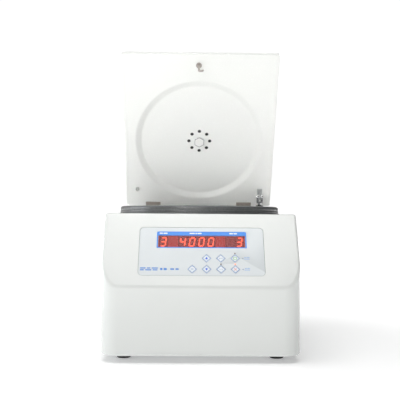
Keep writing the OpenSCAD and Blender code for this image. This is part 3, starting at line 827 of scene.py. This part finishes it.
def make_window():
    """Red filter over the digits, a little set back in the bezel."""
    outline = box_outline(WINDOW_X - WINDOW_HALF, WINDOW_X + WINDOW_HALF, WINDOW_LOW, WINDOW_HIGH)
    pane = piece("window_skin", "base", window_filter(), mesh_of(prism(outline, -0.75, -0.15)), PANEL)
    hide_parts("display_window")
    sides = [m + side * DIGIT_PITCH / 2 * n for m, n in MODULES for side in (-1, 1)]
    ends = [WINDOW_X + end for end in (-WINDOW_HALF, *sides, WINDOW_HALF)]
    masks = []
    for left, right in zip(ends[::2], ends[1::2]):
        masks.append(prism(box_outline(left, right, WINDOW_LOW, WINDOW_HIGH), -1.15, -0.95))
    red = ink("backing_red", (0.85, 0.05, 0.03))
    made = piece("window_backing", "base", red, mesh_of(join(*masks)), PANEL)


SEGMENTS = {
    "a": ((0.0, 1.0), (1.0, 1.0)), "b": ((1.0, 1.0), (1.0, 0.5)), "c": ((1.0, 0.5), (1.0, 0.0)),
    "d": ((1.0, 0.0), (0.0, 0.0)), "e": ((0.0, 0.0), (0.0, 0.5)), "f": ((0.0, 0.5), (0.0, 1.0)),
    "g": ((0.0, 0.5), (1.0, 0.5)),
}
LIT = {"0": "abcdef", "3": "abcdg", "4": "bcfg", " ": ""}


def bar(start, end, width):
    """Bar with pointed ends between two points, as one segment of a digit."""
    a, b = Vector(start), Vector(end)
    along = (b - a).normalized()
    aside = Vector((-along.y, along.x)) * width / 2
    a, b = a + along * 0.35, b - along * 0.35
    shoulder = along * width / 2
    points = [a, a + shoulder - aside, b - shoulder - aside, b, b - shoulder + aside, a + shoulder + aside]
    return [(p.x, p.y) for p in points]


def digit(sign, x, s, lit=True):
    """Outlines of a digit's lit or dark segments, leaning right, around its middle."""
    wide, tall, lean = 6.4, 12.6, 0.14
    outlines = []
    for name, ends in SEGMENTS.items():
        if (name in LIT[sign]) == lit:
            start, end = ((wide * (u - 0.5), tall * (v - 0.5)) for u, v in ends)
            outlines.append([(x + px + lean * py, s + py) for px, py in bar(start, end, 1.7)])
    return outlines


def make_digits():
    """A 3, a 4000 and another 3 on the display's three modules, with their dark segments."""
    places = []
    for (middle, count), signs in zip(MODULES, ("3", "4000", " 3")):
        first = WINDOW_X + middle - DIGIT_PITCH * (count - 1) / 2
        places += [(first + DIGIT_PITCH * i, sign) for i, sign in enumerate(signs)]
    bright = [o for x, sign in places for o in digit(sign, x, WINDOW_S)]
    dark = [o for x, sign in places for o in digit(sign, x, WINDOW_S, lit=False)]
    faces = []
    for middle, count in MODULES:
        half = DIGIT_PITCH / 2 * count
        face = box_outline(middle - half, middle + half, WINDOW_LOW + 0.1, WINDOW_HIGH - 0.1)
        faces.append(moved(face, WINDOW_X, 0))
    glowing = segment("segment_lit", (1.0, 0.13, 0.055), 3.2)
    unlit = segment("segment_dark", (0.34, 0.09, 0.07), 0.0)
    printed("digits_lit", "base", glowing, bright, -1.0, 0.1)
    printed("digits_dark", "base", unlit, dark, -1.05, 0.08)
    printed("module_faces", "base", module_face(), faces, -1.35, 0.12)


def dashes(x, s, widths, height, gap=0.7):
    """A row of plain dashes standing in for small print."""
    outlines = []
    for width in widths:
        outlines.append(round_rect(width, height, height * 0.3, steps=3, middle=(x + width / 2, s)))
        x += width + gap
    return outlines


def make_prints():
    """Dashes where the panel carries words, a darker line round the film's edge painted as the shade where
    it sits in its seat, and two pointers.
    """
    white = ink("ink_white", (0.86, 0.9, 0.96))
    navy = ink("ink_blue", (0.10, 0.27, 0.68))
    slate = ink("ink_slate", (0.27, 0.36, 0.50))
    sky = ink("ink_sky", (0.34, 0.50, 0.78))
    marks = dashes(-56.2, 81.9, (4.6, 5.4), 1.9) + dashes(-15.6, 81.9, (7.2, 2.2, 5.4), 1.9)
    marks += dashes(38.2, 81.9, (5.2, 4.8), 1.9)
    printed("header_marks", "base", white, marks, 0.22, 0.03)
    name = dashes(-80.5, 28.4, (7.4, 4.6, 8.4), 1.7, 1.6) + dashes(-80.5, 25.7, (5.2, 8.2, 6.4), 1.7, 1.6)
    name += dashes(-54.2, 27, (3.4, 4.4), 3.2, 1.2) + dashes(-40.8, 27, (5.2, 4.4), 2.4, 1.6)
    printed("name_bar", "base", navy, name)
    # painted shade: a grey line round the film's edge stands in for the shade along the edge of the film's
    # recessed seat
    edge = band(round_rect(167.6, 74.1, 5.8, middle=(OVERLAY_X, OVERLAY_S)),
                round_rect(166.6, 73.1, 5.3, middle=(OVERLAY_X, OVERLAY_S)), -0.05, 0.04)
    edge_shade = piece("film_edge_shade", "base", ink("ink_edge_shade", (0.40, 0.45, 0.44)), mesh_of(edge), PANEL)
    pointers = [moved([(0, 0), (2.4, -1.1), (2.4, 1.1)], 53.6, s) for s in (43.5, 27.0)]
    printed("pointers", "base", slate, pointers)
    captions = dashes(57.2, 44.9, (2.6, 4.0), 1.1, 0.5) + dashes(57.0, 42.7, (7.4,), 1.0)
    captions += dashes(57.6, 28.4, (2.6, 3.6), 1.1, 0.5) + dashes(57.0, 26.2, (7.4,), 1.0)
    printed("captions", "base", sky, captions)


def key_marks():
    """What is printed on each key: the signs' outlines and their ink."""
    navy = ink("sign_blue", (0.04, 0.13, 0.72))
    green = ink("sign_green", (0.25, 0.55, 0.12))
    red = ink("sign_red", (0.80, 0.16, 0.12))
    faint = ink("sign_faint", (0.35, 0.43, 0.56))
    up = [[(-2.0, -0.9), (2.0, -0.9), (0, 2.1)], box_outline(-0.9, 0.9, -1.7, -0.8)]
    down = [moved(outline[::-1], 0, 0, -1) for outline in up]
    bars = [box_outline(-1.9, 1.9, s - 0.22, s + 0.22) for s in (-1.0, 0.0, 1.0)]
    swap = [[(-2.6, 0), (-1.2, -1.0), (-1.2, 1.0)], [(2.6, 0), (1.2, 1.0), (1.2, -1.0)]]
    swap.append(box_outline(-1.2, 1.2, -0.25, 0.25))
    dots = [moved(circle(0.55, steps=16), x, 0) for x in (-1.7, 0, 1.7)]
    stop = [[(-1.5, -1.9), (1.9, 1.5), (1.5, 1.9), (-1.9, -1.5)],
            [(1.5, -1.9), (1.9, -1.5), (-1.5, 1.9), (-1.9, 1.5)]]
    return {1: (up, navy), 2: (swap, faint), 3: (None, green), 4: (bars, faint), 5: (down, navy),
            6: (dots, faint), 7: (stop, red)}


def make_keys():
    """Each key's film, its double diamond outline and its sign; the start key's is a round square."""
    film = key_film()
    line = ink("key_line", (0.13, 0.27, 0.58))
    low, high = KEY_LIFT - 0.04, KEY_LIFT + 0.04
    for number, (sign, colour) in key_marks().items():
        x, s = key_place(number)
        body = f"key_{number}"
        soften(body, 0.25, film)
        rings = []
        for outside, inside in ((6.1, 5.45), (4.95, 4.6)):
            rings.append(band(moved(diamond(outside), x, s), moved(diamond(inside), x, s), low, high))
        outline = piece(f"key_{number}_outline", body, line, mesh_of(join(*rings)), PANEL)
        if sign is None:
            ring = band(round_rect(4.6, 4.6, 1.5, middle=(x, s)), round_rect(3.2, 3.2, 0.9, middle=(x, s)),
                        low, high)
            mark = piece(f"key_{number}_sign", body, colour, mesh_of(ring), PANEL)
        else:
            outlines = [moved(points, x, s) for points in sign]
            printed(f"key_{number}_sign", body, colour, outlines, KEY_LIFT, 0.04)


def make_lamps():
    """Three small domes, of which only the one over the stop key is lit."""
    dark = segment("lamp_dark", (0.10, 0.03, 0.02), 0.0)
    lit = segment("lamp_lit", (1.0, 0.22, 0.06), 1.6)
    profile = [(0, -0.4), (0.86, -0.4), (0.86, 0.02), (0.78, 0.14), (0.55, 0.24), (0.28, 0.29), (0, 0.3)]
    first_x, first_s, key_pitch = 7, 27, 19
    lamps = (("run", 2, 24.2, dark), ("mode", 1, 7.8, dark), ("stop", 2, 7.8, lit))
    for name, column, rise, material in lamps:
        place = PANEL @ Matrix.Translation((first_x + key_pitch * column, first_s + rise, 0))
        lamp = piece(f"lamp_{name}", "base", material, mesh_of(lathe(profile, 32)), place)
        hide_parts("indicator_lamps")


# ---- screws ----

def screw_mesh(radius, rise):
    """Domed screw head with a cross recess, standing on z = 0."""
    profile = [(0, 0), (radius, 0), (radius, rise * 0.35)]
    for k in range(1, 7):
        turn = math.radians(15 * k)
        profile.append((radius * math.cos(turn), rise * (0.35 + 0.65 * math.sin(turn))))
    head = mesh_of(lathe(profile, 40))
    arm, blade = radius * 0.62, radius * 0.13
    cross = [prism(box_outline(-arm, arm, -blade, blade), rise * 0.35, rise + 1),
             prism(box_outline(-blade, blade, -arm, arm), rise * 0.35, rise + 1)]
    return cut(head, cross)


def make_screws(steel):
    """Cross-head screws over the plain ones on the rear panel: six at its edge, two at the inlet."""
    back = in_mm(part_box("rear_panel")[1]).y
    low, high = (in_mm(corner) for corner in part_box("rear_screws"))
    outward = Matrix.Rotation(math.radians(-90), 4, "X")
    big, flange, inlet_screw = 2.8, 2, 20
    head = shape_of(screw_mesh(big, 1.55))
    heads = []
    for x in (low.x + big, (low.x + high.x) / 2, high.x - big):
        for z in (low.z + big, high.z - big):
            heads.append(placed(head, Matrix.Translation((x, back, z)) @ outward))
    small = shape_of(screw_mesh(2.4, 1.15))
    socket = in_mm(sum(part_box("inlet"), Vector())) / 2
    for side in (-inlet_screw, inlet_screw):
        spot = (socket.x + side, back + flange, socket.z)
        heads.append(placed(small, Matrix.Translation(spot) @ outward))
    screws = piece("rear_screw_heads", "base", steel, mesh_of(join(*heads)), sharp=50)
    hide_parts("rear_screws")


# ---- CAD nodes that stay ----

def soften(node, width, material, angle=30, segments=2):
    """Rounds a CAD node's sharp edges with modifiers, and gives it its material."""
    shape = nodes[node]
    weld = shape.modifiers.new("weld", "WELD")
    weld.merge_threshold = 0.000005
    flat = shape.modifiers.new("flat", "DECIMATE")
    flat.decimate_type = "DISSOLVE"
    flat.angle_limit = math.radians(0.5)
    edge = shape.modifiers.new("edge", "BEVEL")
    edge.width = width * MM
    edge.segments = segments
    edge.limit_method = "ANGLE"
    edge.angle_limit = math.radians(angle)
    edge.use_clamp_overlap = True
    edge.harden_normals = True
    repaint(node, material)


def repaint(node, material):
    for place in nodes[node].material_slots:
        place.material = material


def finish_nodes():
    """Materials and small edge radii for every CAD node that is still shown."""
    zinc, stainless, brown = plate_steel(), bright_steel(), dark_steel()
    rubber, moulded, alloy = black_rubber(), black_plastic(), anodised()
    board, painted = board_green(), grey_paint()
    softened = {
        "base_plate": (0.4, zinc), "lock_frame": (0.3, zinc), "motor_plate": (0.4, zinc),
        "stay_foot": (0.4, zinc), "rear_panel": (0.3, painted), "inlet": (0.5, moulded),
        "rocker_frame": (0.5, moulded), "rocker": (0.4, moulded), "hinge_bases": (0.5, brown),
        "lid_hinges": (0.5, brown), "striker": (0.4, brown), "stay_bracket": (0.4, zinc),
        "stay_clevis": (0.6, chrome()), "rotor_yoke": (0.6, alloy), "rotor_nut": (0.6, stainless),
        "overlay": (0.25, overlay_film()), "lock_bolt": (0.3, stainless),
        "lock_solenoid": (0.5, painted), "lid_switch": (0.3, moulded), "drive_parts": (0.4, alloy),
        "inlet_pins": (0.4, brass()),
    }
    for node, (width, material) in softened.items():
        soften(node, width, material)
    plain = {
        "bottom_screws": zinc, "feet": rubber, "guard_ring": painted, "chamber_bowl": spun_steel(),
        "shaft_boot": rubber, "motor": painted, "dampers": rubber, "display_board": board,
        "digit_modules": moulded, "key_switches": moulded, "drive_board": board,
        "fuse_holder": moulded, "hinge_pins": stainless,
        "lid_stud": stainless, "stay_tube": black_paint(), "stay_rod": stainless,
        "rotor_shaft": stainless,
    }
    plain.update({f"bucket_{k}": alloy for k in range(1, 5)})
    for node, material in plain.items():
        repaint(node, material)


make_camera()
make_light()
make_world()
make_floor()
make_housing()
make_lid()
make_liner()
make_seal()
make_port()
blue_film = ink("film_blue", (0.075, 0.30, 0.87))
make_bezel(blue_film)
make_window()
make_digits()
make_prints()
make_keys()
make_lamps()
make_screws(bright_steel())
finish_nodes()
